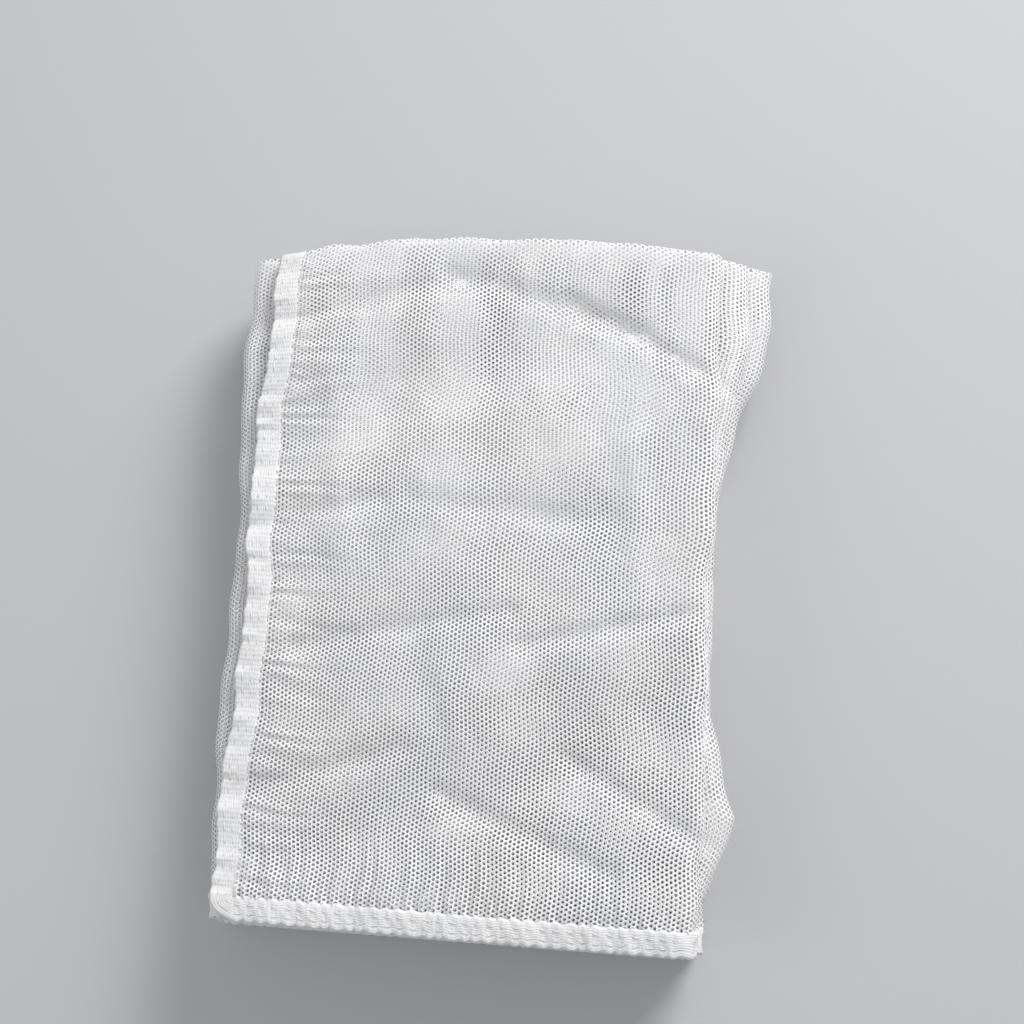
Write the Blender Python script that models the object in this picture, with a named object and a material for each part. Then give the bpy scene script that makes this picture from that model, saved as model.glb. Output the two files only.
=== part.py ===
"""Mosquito net for a stroller, folded into a small packet and lying on its back.

The real thing is one length of hexagonal tulle with an elastic border sewn round its edge. It is
laid in four plies across its width, which puts both long edges at the near end of the packet, and
this band of four plies is then folded back and forth in eight passes. One pass of the solid here
stands for its four plies. The mesh of the tulle is far under 4 mm and stays uncut.

Metres, +Z up. The passes run along X and lie on each other along Z. The fold loops run along Y,
from the elastic edges at the near end to the ply folds at the far end. The origin is under the
middle of the whole packet, on the surface that it lies on.
"""
import math

import bmesh
import bpy
import numpy as np

MM = 0.001

# The band of four plies
PASSES = 8
STRIP = 2.3 * MM            # thickness of the four plies together
PITCH = 3.4 * MM            # from one pass to the next
SPREAD = 0.35 * MM          # how far a loop spreads its two passes, so that passes tilt in turn
LOOP_BULGE = 2.3 * MM       # how far a fold loop's middle line swings past the pass
BORDER_WIDTH = 6.0 * MM
SEAM_GAP = 0.3 * MM         # between the net and its border
PASS_LENGTH = 115.0 * MM    # turns the border's width into a share of a pass

# The packet
NEAR_END = -83.0 * MM
FAR_END = 85.0 * MM
HALF_LENGTH = 84.0 * MM
SHIFT_X = -3.26 * MM        # the flaps reach out at the right, so the body sits left of the origin
SHIFT_Y = -0.71 * MM

# Left ends of the passes, from the bottom up: a free end, three fold loops, a free end
LEFT_COLUMNS = ("reach", "lean", "wave", "phase")
LEFT_TABLE = (
    (57.4, 0.7, 0.4, 0.0),
    (56.6, -0.8, 0.7, 1.1),
    (57.7, 0.6, 0.5, 2.9),
    (56.7, 1.0, 0.8, 4.4),
    (54.6, -1.3, 0.9, 5.6),
)
WAVE_LENGTH = 88.0 * MM

# Right fold loops, from the bottom up. A flap is the extra reach of the net past its neighbours
RIGHT_COLUMNS = ("reach", "lean", "wave", "phase", "far_flap", "near_flap")
RIGHT_TABLE = (
    (52.8, -1.8, 0.6, 0.6, 0.0, 0.0),
    (54.2, -2.2, 0.4, 2.2, 12.6, 0.0),
    (55.4, -1.9, 0.3, 4.1, 7.2, 8.1),
    (56.5, -1.2, 0.7, 5.2, 0.0, 0.0),
)
FAR_FLAP_START = 13.0 * MM
FAR_FLAP_FULL = 75.0 * MM
NEAR_FLAP_START = -27.0 * MM
NEAR_FLAP_TIP = -50.5 * MM
NEAR_FLAP_END = -71.0 * MM
NEAR_FLAP_ROUNDING = 0.75   # under 1, the flap's lower side bulges
FLAP_ROOT = 58.0 * MM       # past this a flap has nothing under it and hangs
FLAP_TIP = 68.0 * MM
FLAP_SAG = 0.06

# How the passes drift along Y, and how their ends stand at the far end
DRIFT = 0.9 * MM
DRIFT_TURN = 1.7
FAR_END_ROUNDING = 4.0 * MM
FAR_END_LEFT_DROP = 2.4 * MM
LEFT_DROP_START = -18.0 * MM
LEFT_DROP_FULL = -42.0 * MM

# Swell of the whole stack, and its main soft troughs: start, end, depth and half width
CROWN = 0.055
CROWN_HALF_WIDTH = 66.0 * MM
CROWN_HALF_LENGTH = 96.0 * MM
NEAR_SWELL = 0.05
NEAR_SWELL_REACH = 26.0 * MM
CREASE_COLUMNS = ("x0", "y0", "x1", "y1", "depth", "half_width")
CREASE_TABLE = (
    (-58.0, 30.0, 20.0, 58.0, 0.050, 10.0),
    (-30.0, -62.0, 60.0, -24.0, 0.045, 11.0),
    (14.0, 4.0, 58.0, 34.0, 0.035, 9.0),
    (-56.0, -34.0, -20.0, -8.0, 0.030, 10.0),
)

# Lobes of the gathered elastic edge, in its outermost row
LOBE_DEPTH = 0.7 * MM
LOBES_PER_PASS = 4.5

# Fineness of the grids
NET_STEPS_PER_PASS = 8
BORDER_STEPS_PER_PASS = 14
STEPS_PER_LOOP = 6
ROWS = 18
END_ROUND = 1.2 * MM
END_ROUND_SHARE = 0.92
FAR_STEP = 0.3              # where the last row but one stands in the rounded end
SHARP_ANGLE = math.radians(50)


def rise(value, start, full):
    """Smooth step from 0 at start to 1 at full."""
    share = np.clip((value - start) / (full - start), 0.0, 1.0)
    return share * share * (3.0 - 2.0 * share)


def named(columns, table):
    """Rows of a table as dictionaries by column name."""
    return [dict(zip(columns, row)) for row in table]


LEFT_ENDS = named(LEFT_COLUMNS, LEFT_TABLE)
RIGHT_ENDS = named(RIGHT_COLUMNS, RIGHT_TABLE)
CREASES = named(CREASE_COLUMNS, CREASE_TABLE)


def uneven_end(end, y):
    """Distance from the middle to an end of the passes, leaning and wavy along Y, in millimetres."""
    wave = end["wave"] * np.sin(end["phase"] + 2 * math.pi * y / WAVE_LENGTH)
    return end["reach"] + end["lean"] * y / HALF_LENGTH + wave


def left_end(index, y):
    """X of the left end number index of the passes, at the places y."""
    return -uneven_end(LEFT_ENDS[index], y) * MM


def right_end(index, y):
    """X of the right fold loop number index, with its flaps, at the places y."""
    end = RIGHT_ENDS[index]
    far = rise(y, FAR_FLAP_START, FAR_FLAP_FULL)
    up = np.clip((NEAR_FLAP_START - y) / (NEAR_FLAP_START - NEAR_FLAP_TIP), 0.0, 1.0)
    down = np.clip((y - NEAR_FLAP_END) / (NEAR_FLAP_TIP - NEAR_FLAP_END), 0.0, 1.0)
    near = np.minimum(up, down**NEAR_FLAP_ROUNDING)
    return (uneven_end(end, y) + end["far_flap"] * far + end["near_flap"] * near) * MM


def tilt(number):
    """Rise of a pass towards the right: its loops spread it from the pass that each one joins it to."""
    if number == 0:
        return 0.0
    return SPREAD if number % 2 else -SPREAD


def pass_line(number, share, y):
    """Middle line of a pass: level, and straight from its left end to its right one."""
    left = left_end((number + 1) // 2, y)
    right = right_end(number // 2, y)
    travel = share if number % 2 == 0 else 1.0 - share
    x = left + (right - left) * travel
    side = 1.0 if number % 2 == 0 else -1.0
    z = STRIP / 2 + number * PITCH + tilt(number) * (2.0 * travel - 1.0)
    return x, np.full_like(x, z), np.zeros_like(x), np.full_like(x, side)


def loop_line(number, share, y):
    """Middle line of a fold loop: half an ellipse from one pass up to the next."""
    at_right = number % 2 == 0
    side = 1.0 if at_right else -1.0
    root = right_end(number // 2, y) if at_right else left_end((number + 1) // 2, y)
    turn = math.pi * (share - 0.5)
    low = STRIP / 2 + number * PITCH + tilt(number) * side
    high = STRIP / 2 + (number + 1) * PITCH + tilt(number + 1) * side
    half_height = (high - low) / 2
    x = root + side * LOOP_BULGE * np.cos(turn)
    z = low + half_height * (1 + np.sin(turn))
    out_x = side * np.cos(turn) / LOOP_BULGE
    out_z = np.sin(turn) / half_height
    length = np.hypot(out_x, out_z)
    inwards = -side
    return x, z + 0.0 * x, inwards * out_x / length + 0.0 * x, inwards * out_z / length + 0.0 * x


def settle(x, y, z):
    """How the whole stack lies: its rounded far end, crown, swollen near end, troughs and sagging flaps.

    Every change in height is a share of the height itself, so the underside stays flat.
    """
    drop = FAR_END_ROUNDING * (x / CROWN_HALF_WIDTH) ** 2
    drop = drop + FAR_END_LEFT_DROP * rise(x, LEFT_DROP_START, LEFT_DROP_FULL)
    settled_y = y - drop * np.clip(y / FAR_END, 0.0, None) ** 2
    swell = CROWN * (1 - (x / CROWN_HALF_WIDTH) ** 2) * (1 - (y / CROWN_HALF_LENGTH) ** 2)
    swell = swell + NEAR_SWELL * rise(y, NEAR_END + NEAR_SWELL_REACH, NEAR_END)
    for crease in CREASES:
        from_x, from_y = x - crease["x0"] * MM, y - crease["y0"] * MM
        run_x = (crease["x1"] - crease["x0"]) * MM
        run_y = (crease["y1"] - crease["y0"]) * MM
        along = np.clip((from_x * run_x + from_y * run_y) / (run_x**2 + run_y**2), 0.0, 1.0)
        away = np.hypot(from_x - along * run_x, from_y - along * run_y)
        swell = swell - crease["depth"] * np.exp(-((away / (crease["half_width"] * MM)) ** 2))
    swell = swell - FLAP_SAG * rise(x, FLAP_ROOT, FLAP_TIP)
    return x + SHIFT_X, settled_y + SHIFT_Y, z * (1 + swell)


def stations(first, last, per_pass):
    """Places along the band: 2k to 2k+1 is pass k, and 2k+1 to 2k+2 is the loop after it."""
    places = []
    for number in range(PASSES):
        start = first if number == 0 else 2.0 * number
        end = last if number == PASSES - 1 else 2.0 * number + 1.0
        places.append(np.linspace(start, end, per_pass + 1))
        if number < PASSES - 1:
            places.append(np.linspace(end, end + 1.0, STEPS_PER_LOOP + 1)[1:-1])
    return np.concatenate(places)


def band_points(places, rows, thickness_shares, lobes=0.0):
    """Both faces of the band at the given places and rows, as two grids of points."""
    faces = []
    for side in (1.0, -1.0):
        grid = np.zeros((len(places), len(rows), 3))
        for i, place in enumerate(places):
            number = min(int(place // 2), PASSES - 1)
            share = place - 2.0 * number
            line = pass_line if share <= 1.0 else loop_line
            if share > 1.0:
                share -= 1.0
            x, z, normal_x, normal_z = line(number, share, rows)
            offset = side * STRIP / 2 * thickness_shares
            y = rows + DRIFT * math.sin(DRIFT_TURN * place)
            travelled = number + min(place - 2.0 * number, 1.0)
            y[0] -= lobes * math.sin(2 * math.pi * LOBES_PER_PASS * travelled)
            grid[i] = np.stack(settle(x + offset * normal_x, y, z + offset * normal_z), axis=1)
        faces.append(grid)
    return faces


def add_solid(name, faces, cells, material):
    """Closed solid of the grid's chosen cells between its two faces, with walls round them."""
    upper, lower = faces
    wide, deep = upper.shape[:2]
    index = np.arange(wide * deep).reshape(wide, deep)
    count = wide * deep
    quads = []
    for i, j in zip(*np.nonzero(cells)):
        ring = (index[i, j], index[i + 1, j], index[i + 1, j + 1], index[i, j + 1])
        quads.append(ring)
        quads.append(tuple(point + count for point in reversed(ring)))
        for (di, dj), (a, b) in (((-1, 0), (3, 0)), ((1, 0), (1, 2)), ((0, -1), (0, 1)), ((0, 1), (2, 3))):
            ni, nj = i + di, j + dj
            inside = 0 <= ni < wide - 1 and 0 <= nj < deep - 1 and cells[ni, nj]
            if not inside:
                quads.append((ring[b], ring[a], ring[a] + count, ring[b] + count))
    points = np.concatenate([upper.reshape(-1, 3), lower.reshape(-1, 3)])
    mesh = bpy.data.meshes.new(name)
    mesh.from_pydata(points.tolist(), [], [tuple(int(p) for p in quad) for quad in quads])
    shell = bmesh.new()
    shell.from_mesh(mesh)
    loose = [vertex for vertex in shell.verts if not vertex.link_faces]
    bmesh.ops.delete(shell, geom=loose, context="VERTS")
    bmesh.ops.recalc_face_normals(shell, faces=shell.faces)
    shell.to_mesh(mesh)
    shell.free()
    mesh.shade_smooth()
    mesh.set_sharp_from_angle(angle=SHARP_ANGLE)
    mesh.materials.append(material)
    solid = bpy.data.objects.new(name, mesh)
    bpy.context.collection.objects.link(solid)
    return solid


def cloth_material(name, color, roughness):
    material = bpy.data.materials.new(name)
    material.use_nodes = True
    shader = material.node_tree.nodes["Principled BSDF"]
    shader.inputs["Base Color"].default_value = (*color, 1.0)
    shader.inputs["Roughness"].default_value = roughness
    shader.inputs["Metallic"].default_value = 0.0
    return material


def rounded(rows, end, inwards):
    """Share of the full thickness near a soft end of the band: a half ellipse."""
    depth = np.clip(1 - (rows - end) * inwards / END_ROUND, 0.0, 1.0)
    return np.sqrt(1 - END_ROUND_SHARE * depth**2)


def inner_rows():
    """Rows of the net along Y: even ones, those at the flaps' corners, and those of the soft far end."""
    start = NEAR_END + BORDER_WIDTH + SEAM_GAP
    even = np.linspace(start, FAR_END - END_ROUND, ROWS)
    corners = (NEAR_FLAP_END, NEAR_FLAP_TIP, NEAR_FLAP_START, FAR_FLAP_START, FAR_FLAP_FULL)
    nearest = [int(np.argmin(np.abs(even - corner))) for corner in corners]
    even[nearest] = corners
    return np.append(even, [FAR_END - END_ROUND * FAR_STEP, FAR_END])


def build_net():
    """Build the tulle: everything inside the border, with soft ply folds at the far end."""
    rows = inner_rows()
    margin = (BORDER_WIDTH + SEAM_GAP) / PASS_LENGTH
    places = stations(margin, 2.0 * PASSES - 1.0 - margin, NET_STEPS_PER_PASS)
    faces = band_points(places, rows, rounded(rows, FAR_END, -1.0))
    cells = np.ones((len(places) - 1, len(rows) - 1), bool)
    return add_solid("net", faces, cells, cloth_material("net_tulle", (0.86, 0.86, 0.89), 0.8))


def build_border():
    """Build the elastic edge: along the near end of every pass, and up both free ends of the net."""
    seam = NEAR_END + BORDER_WIDTH
    rows = np.concatenate([[NEAR_END, NEAR_END + END_ROUND, seam], inner_rows()[1:]])
    margin = BORDER_WIDTH / PASS_LENGTH
    places = stations(margin, 2.0 * PASSES - 1.0 - margin, BORDER_STEPS_PER_PASS)
    places = np.concatenate([[0.0], places, [2.0 * PASSES - 1.0]])
    shares = rounded(rows, FAR_END, -1.0) * rounded(rows, NEAR_END, 1.0)
    faces = band_points(places, rows, shares, lobes=LOBE_DEPTH)
    cells = np.zeros((len(places) - 1, len(rows) - 1), bool)
    cells[:, :2] = True
    cells[0, :] = True
    cells[-1, :] = True
    return add_solid("elastic_border", faces, cells,
                     cloth_material("border_elastic", (0.92, 0.92, 0.93), 0.65))


for old in list(bpy.data.objects):
    bpy.data.objects.remove(old, do_unlink=True)
build_net()
build_border()
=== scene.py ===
# %% [markdown]
# A folded mosquito net.
#
# The object is a white mosquito net for a stroller, folded up for keeping: a length of tulle with a
# gathered elastic border, laid together into a small packet that rests on its back. Cloth like this
# could be draped by a simulation, but a packet of 32 layers is a matter of knowing where each layer
# runs. So one function says where any point of the flat net lies in the packet, and every piece
# here is made by asking that function: the cloth, its open mesh and its elastic edge.

# %% Load the frame
import math

import bpy
import numpy as np
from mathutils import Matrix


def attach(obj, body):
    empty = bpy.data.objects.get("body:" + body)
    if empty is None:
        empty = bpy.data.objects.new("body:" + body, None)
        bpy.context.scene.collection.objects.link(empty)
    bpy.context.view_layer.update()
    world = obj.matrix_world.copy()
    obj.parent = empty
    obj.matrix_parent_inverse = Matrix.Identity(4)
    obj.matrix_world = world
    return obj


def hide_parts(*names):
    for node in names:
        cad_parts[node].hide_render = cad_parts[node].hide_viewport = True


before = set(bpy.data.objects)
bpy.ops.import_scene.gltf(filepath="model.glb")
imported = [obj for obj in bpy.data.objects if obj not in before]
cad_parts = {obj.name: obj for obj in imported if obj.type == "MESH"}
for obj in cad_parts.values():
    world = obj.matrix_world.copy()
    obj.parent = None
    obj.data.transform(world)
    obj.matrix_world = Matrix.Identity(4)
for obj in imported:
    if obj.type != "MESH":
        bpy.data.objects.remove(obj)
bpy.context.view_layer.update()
print("solids:", sorted(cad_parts))

# %% [markdown]
# The sizes of the fold.
#
# The net lies in four plies across its width, and this band is folded back and forth in eight
# passes. The sizes are those of the solids, so that the thin cloth runs inside them. Small tables
# with a row for each fold keep the unevenness in one place, where it can be read and changed.

# %% Sizes of the packet, in metres
MM = 0.001
PASSES = 8
STRIP = 2.3 * MM
PITCH = 3.4 * MM
SPREAD = 0.35 * MM
LOOP_BULGE = 2.3 * MM
BORDER_WIDTH = 6.0 * MM
PASS_LENGTH = 115.0 * MM
NEAR_END = -83.0 * MM
FAR_END = 85.0 * MM
HALF_LENGTH = 84.0 * MM
SHIFT_X = -3.26 * MM
SHIFT_Y = -0.71 * MM
WAVE_LENGTH = 88.0 * MM

# Columns: reach, lean, wave, phase. Lengths in millimetres, from the bottom up
LEFT_ENDS = np.array((
    (57.4, 0.7, 0.4, 0.0),
    (56.6, -0.8, 0.7, 1.1),
    (57.7, 0.6, 0.5, 2.9),
    (56.7, 1.0, 0.8, 4.4),
    (54.6, -1.3, 0.9, 5.6),
))
# Columns: reach, lean, wave, phase, far flap, near flap
RIGHT_ENDS = np.array((
    (52.8, -1.8, 0.6, 0.6, 0.0, 0.0),
    (54.2, -2.2, 0.4, 2.2, 12.6, 0.0),
    (55.4, -1.9, 0.3, 4.1, 7.2, 8.1),
    (56.5, -1.2, 0.7, 5.2, 0.0, 0.0),
))
# Columns: multiple of the phase, height in millimetres, wave length in metres
SHORT_WAVES = ((3, 0.36, 31 * MM), (5, 0.24, 17 * MM))
FAR_FLAP_START, FAR_FLAP_FULL = 13.0 * MM, 75.0 * MM
NEAR_FLAP_START, NEAR_FLAP_TIP, NEAR_FLAP_END = -27.0 * MM, -50.5 * MM, -71.0 * MM
NEAR_FLAP_ROUNDING = 0.75
FLAP_ROOT, FLAP_TIP, FLAP_SAG = 58.0 * MM, 68.0 * MM, 0.06
FAR_FLAP_HOLD_BACK, NEAR_FLAP_HOLD_BACK = 0.14, 0.9    # of the innermost ply, as a share of the flap

DRIFT, DRIFT_TURN = 0.9 * MM, 1.7
FAR_END_ROUNDING = 4.0 * MM
FAR_END_LEFT_DROP = 2.4 * MM
LEFT_DROP_START, LEFT_DROP_FULL = -18.0 * MM, -42.0 * MM
FAR_BUMP, FAR_BUMP_X, FAR_BUMP_HALF_WIDTH = 2.0 * MM, -38.0 * MM, 5.0 * MM
FAR_BUMP_START, FAR_BUMP_FULL = 8 * MM, 20 * MM        # heights in the stack
CROWN, CROWN_HALF_WIDTH, CROWN_HALF_LENGTH = 0.055, 66.0 * MM, 96.0 * MM
NEAR_SWELL, NEAR_SWELL_REACH = 0.05, 26.0 * MM
STACK_HEIGHT, HIGHEST_SHARE = 26.1 * MM, 1.2
# Columns: height as a share of the stack's, slant up the stack, size in metres, seed
STACK_RIPPLES = ((0.010, 0.4, 34 * MM, 1.0), (0.004, -0.6, 11 * MM, 2.0))

# Columns: x0, y0, x1, y1 in millimetres, depth as a share of the height, half width in millimetres
MAIN_CREASES = (
    (-58.0, 30.0, 20.0, 58.0, 0.050, 10.0),
    (-30.0, -62.0, 60.0, -24.0, 0.045, 11.0),
    (14.0, 4.0, 58.0, 34.0, 0.035, 9.0),
    (-56.0, -34.0, -20.0, -8.0, 0.030, 10.0),
)
FINE_CREASES = (
    (-54.0, 66.0, -6.0, 74.0, 0.034, 2.8),
    (-8.0, 76.0, 40.0, 62.0, 0.040, 3.0),
    (22.0, 70.0, 62.0, 50.0, 0.036, 2.4),
    (-57.0, 12.0, -22.0, 20.0, 0.034, 2.6),
    (-14.0, 20.0, 36.0, 16.0, 0.026, 3.0),
    (-40.0, -16.0, 12.0, -6.0, 0.032, 2.6),
    (16.0, -14.0, 62.0, -4.0, 0.036, 2.4),
    (-52.0, -52.0, -12.0, -40.0, 0.034, 2.8),
    (-2.0, -50.0, 40.0, -66.0, 0.038, 3.0),
    (28.0, -40.0, 62.0, -58.0, 0.034, 2.4),
    (40.0, 34.0, 44.0, -8.0, -0.022, 3.4),
    (-36.0, 52.0, -30.0, 8.0, -0.022, 3.6),
    (-6.0, -8.0, 2.0, -36.0, -0.020, 3.2),
)

# %% [markdown]
# Where the band of plies runs.
#
# A place along the band is one number: from 2k to 2k + 1 it is on pass k, and from 2k + 1 to 2k + 2
# on the fold loop after it. Worked out as whole arrays, one call places a hundred thousand points.

# %% The back-and-forth line
def rise(value, start, full):
    """Smooth step: 0 at start, 1 at full, with a level start and finish."""
    share = np.clip((value - start) / (full - start), 0.0, 1.0)
    return share * share * (3.0 - 2.0 * share)


def uneven_end(rows, y):
    """Distance of a pass's end from the middle: reach, a lean in proportion to y, and three waves."""
    phase = rows[..., 3]
    wave = rows[..., 2] * np.sin(phase + 2 * math.pi * y / WAVE_LENGTH)
    for multiple, height, length in SHORT_WAVES:
        wave = wave + height * np.cos(multiple * phase + 2 * math.pi * y / length)
    return (rows[..., 0] + rows[..., 1] * y / HALF_LENGTH + wave) * MM


def flap_reach(rows, y, depth):
    """Extra reach of the flaps. The far one is a smooth step along y, the near one a triangle.

    depth is 0 at the outer ply and 1 at the inner one. The inner plies of the near flap stay back, so
    that it thins out to a single turn of net, and those of the far flap follow closely.
    """
    far = rise(y, FAR_FLAP_START, FAR_FLAP_FULL) * (1 - FAR_FLAP_HOLD_BACK * depth)
    up = np.clip((NEAR_FLAP_START - y) / (NEAR_FLAP_START - NEAR_FLAP_TIP), 0.0, 1.0)
    down = np.clip((y - NEAR_FLAP_END) / (NEAR_FLAP_TIP - NEAR_FLAP_END), 0.0, 1.0)
    near = np.minimum(up, down**NEAR_FLAP_ROUNDING) * (1 - NEAR_FLAP_HOLD_BACK * depth)
    return (rows[..., 4] * far + rows[..., 5] * near) * MM


def tilt(number):
    """Rise of a pass from its middle to its right end, which spreads the two passes of each loop."""
    return np.where(number == 0, 0.0, np.where(number % 2 == 1, SPREAD, -SPREAD))


def band(place, y, offset):
    """Point of the band in the XZ plane, moved by offset along the band's normal there.

    A pass is a straight line between its two ends. A loop is half an ellipse that joins the level of
    one pass to the level of the next, and its normal points into a right loop and out of a left one.
    """
    place, y, offset = np.broadcast_arrays(place, y, offset)
    number = np.clip(np.floor(place / 2).astype(int), 0, PASSES - 1)
    share = place - 2.0 * number
    even = number % 2 == 0
    side = np.where(even, 1.0, -1.0)
    depth = np.clip((offset + STRIP / 2) / STRIP, 0.0, 1.0)
    left = -uneven_end(LEFT_ENDS[(number + 1) // 2], y)
    right_rows = RIGHT_ENDS[number // 2]
    right = uneven_end(right_rows, y) + flap_reach(right_rows, y, depth)
    travel = np.where(even, share, 1.0 - share)
    level = STRIP / 2 + number * PITCH
    x_pass = left + (right - left) * travel
    z_pass = level + tilt(number) * (2.0 * travel - 1.0)
    turn = math.pi * (share - 1.5)
    low = level + tilt(number) * side
    half_height = (level + PITCH + tilt(number + 1) * side - low) / 2
    x_loop = np.where(even, right, left) + side * LOOP_BULGE * np.cos(turn)
    z_loop = low + half_height * (1 + np.sin(turn))
    out_x = side * np.cos(turn) / LOOP_BULGE
    out_z = np.sin(turn) / half_height
    length = np.hypot(out_x, out_z)
    in_loop = (share > 1.0) & (number < PASSES - 1)
    normal_x = np.where(in_loop, -side * out_x / length, 0.0)
    normal_z = np.where(in_loop, -side * out_z / length, side)
    x = np.where(in_loop, x_loop, x_pass) + offset * normal_x
    z = np.where(in_loop, z_loop, z_pass) + offset * normal_z
    return x, z


# %% [markdown]
# How the packet settles.
#
# Real folded cloth isn't a block: it is highest in the middle, swollen along its elastic edges and
# crossed by soft troughs. All of this is one smooth warp of space, applied to every layer alike, so
# layers that are apart before it are apart after it. Heights change in proportion to the height
# itself, which leaves the underside flat on the floor.

# %% Troughs and ripples
RIPPLE_WAVES, RIPPLE_SCALE = 5, 3.2
WAVE_TURN, SEED_TURN = 2.4, 1.7     # radians between the directions of two waves, and of two seeds
WAVE_SHIFT, SEED_SHIFT = 1.9, 3.1   # radians between their starts
FIRST_WAVE, ADDED_WAVE = 0.7, 0.23  # waves to a size: of the longest one, and more for each next one


def trough(x, y, table):
    """Sum of soft troughs: depth times a bell curve of the distance to a line piece."""
    total = 0.0
    for x0, y0, x1, y1, depth, half_width in table:
        from_x, from_y = x - x0 * MM, y - y0 * MM
        run_x, run_y = (x1 - x0) * MM, (y1 - y0) * MM
        along = np.clip((from_x * run_x + from_y * run_y) / (run_x**2 + run_y**2), 0.0, 1.0)
        away = np.hypot(from_x - along * run_x, from_y - along * run_y)
        total = total + depth * np.exp(-((away / (half_width * MM)) ** 2))
    return total


def ripples(a, b, size, seed):
    """Smooth unevenness between about -1 and 1: sine waves in different directions, added up.

    Their lengths lie round size. The seed turns and moves them all, for another pattern.
    """
    total = 0.0
    for i in range(RIPPLE_WAVES):
        angle = seed * SEED_TURN + i * WAVE_TURN
        turns = 2 * math.pi / size * (FIRST_WAVE + ADDED_WAVE * i)
        way = a * math.cos(angle) + b * math.sin(angle)
        total = total + np.sin(turns * way + seed * SEED_SHIFT + i * WAVE_SHIFT)
    return total / RIPPLE_SCALE


# %% The warp
def settle(x, y, z):
    """The solids' own warp, then finer troughs and ripples that grow with the height."""
    drop = FAR_END_ROUNDING * (x / CROWN_HALF_WIDTH) ** 2
    drop = drop + FAR_END_LEFT_DROP * rise(x, LEFT_DROP_START, LEFT_DROP_FULL)
    bump = FAR_BUMP * np.exp(-(((x - FAR_BUMP_X) / FAR_BUMP_HALF_WIDTH) ** 2))
    drop = drop - bump * rise(z, FAR_BUMP_START, FAR_BUMP_FULL)
    settled_y = y - drop * np.clip(y / FAR_END, 0.0, None) ** 2
    swell = CROWN * (1 - (x / CROWN_HALF_WIDTH) ** 2) * (1 - (y / CROWN_HALF_LENGTH) ** 2)
    swell = swell + NEAR_SWELL * rise(y, NEAR_END + NEAR_SWELL_REACH, NEAR_END)
    swell = swell - trough(x, y, MAIN_CREASES) - FLAP_SAG * rise(x, FLAP_ROOT, FLAP_TIP)
    height = np.clip(z / STACK_HEIGHT, 0.0, HIGHEST_SHARE)
    fine = trough(x, y, FINE_CREASES) * height**2
    for depth, slant, size, seed in STACK_RIPPLES:
        fine = fine - depth * height * ripples(x, y + slant * z, size, seed)
    return x + SHIFT_X, settled_y + SHIFT_Y, z * (1 + swell - fine)


# %% [markdown]
# The four plies.
#
# Across its width the net runs out to the far end and back twice. A table of fine steps gives, for
# each distance across the flat net, how far along Y it lies and in which ply. Distances in the table
# are real lengths of cloth, which later keeps the mesh of the tulle even round the folds.

# %% Table of the run across the net
PLY_OFFSETS = np.array((-1.02, -0.34, 0.34, 1.02)) * MM
PLIES = len(PLY_OFFSETS)
SEAM_Y = NEAR_END + BORDER_WIDTH
NEAR_FOLD_Y = SEAM_Y - 0.6 * MM     # the folded plies reach a little past the seam
FOLD_BULGE = 1.1 * MM
STRAIGHT_STEPS, FOLD_STEPS = 90, 9
BORDER_OFFSET = 0.80 * MM           # of the two edges from the middle of their pass


def ply_run():
    """Length, Y and offset along the run: straight plies joined by half ellipses at their ends."""
    turns = np.linspace(0, math.pi, FOLD_STEPS)
    y_run, offset_run = [], []
    for ply in range(PLIES):
        outwards = ply % 2 == 0
        near = SEAM_Y if ply in (0, PLIES - 1) else NEAR_FOLD_Y + FOLD_BULGE
        far = FAR_END - FOLD_BULGE
        ends = (near, far) if outwards else (far, near)
        y_run.append(np.linspace(*ends, STRAIGHT_STEPS))
        offset_run.append(np.full(STRAIGHT_STEPS, PLY_OFFSETS[ply]))
        if ply < PLIES - 1:
            sign = 1.0 if outwards else -1.0
            middle = (PLY_OFFSETS[ply] + PLY_OFFSETS[ply + 1]) / 2
            half = (PLY_OFFSETS[ply + 1] - PLY_OFFSETS[ply]) / 2
            y_run.append(ends[1] + sign * FOLD_BULGE * np.sin(turns[1:-1]))
            offset_run.append(middle - half * np.cos(turns[1:-1]))
    y_run, offset_run = np.concatenate(y_run), np.concatenate(offset_run)
    steps = np.hypot(np.diff(y_run), np.diff(offset_run))
    return np.concatenate([[0.0], np.cumsum(steps)]), y_run, offset_run


RUN_V, RUN_Y, RUN_OFFSET = ply_run()
NET_WIDTH = float(RUN_V[-1])
edge_v = np.array([-BORDER_WIDTH])
RUN_V = np.concatenate([edge_v, RUN_V, NET_WIDTH - edge_v])
RUN_Y = np.concatenate([[NEAR_END], RUN_Y, [NEAR_END]])
RUN_OFFSET = np.concatenate([[-BORDER_OFFSET], RUN_OFFSET, [BORDER_OFFSET]])
FIRST_FOLD_V = float(RUN_V[np.argmax(RUN_Y[: len(RUN_Y) // 2])])
print(f"net across: {NET_WIDTH:.3f} m, first ply fold at {FIRST_FOLD_V:.3f} m")

# %% Table of the run along the net
LAST_PLACE = 2.0 * PASSES - 1.0
STEPS_TO_A_PLACE = 40
PLACES = np.linspace(0.0, LAST_PLACE, int(LAST_PLACE) * STEPS_TO_A_PLACE + 1)


def run_along(offset):
    """Length of cloth from the start of the band to each place, for a ply at that offset."""
    x, z = band(PLACES, np.zeros_like(PLACES), offset)
    return np.concatenate([[0.0], np.cumsum(np.hypot(np.diff(x), np.diff(z)))])


RUN_U = run_along(0.0)

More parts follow.
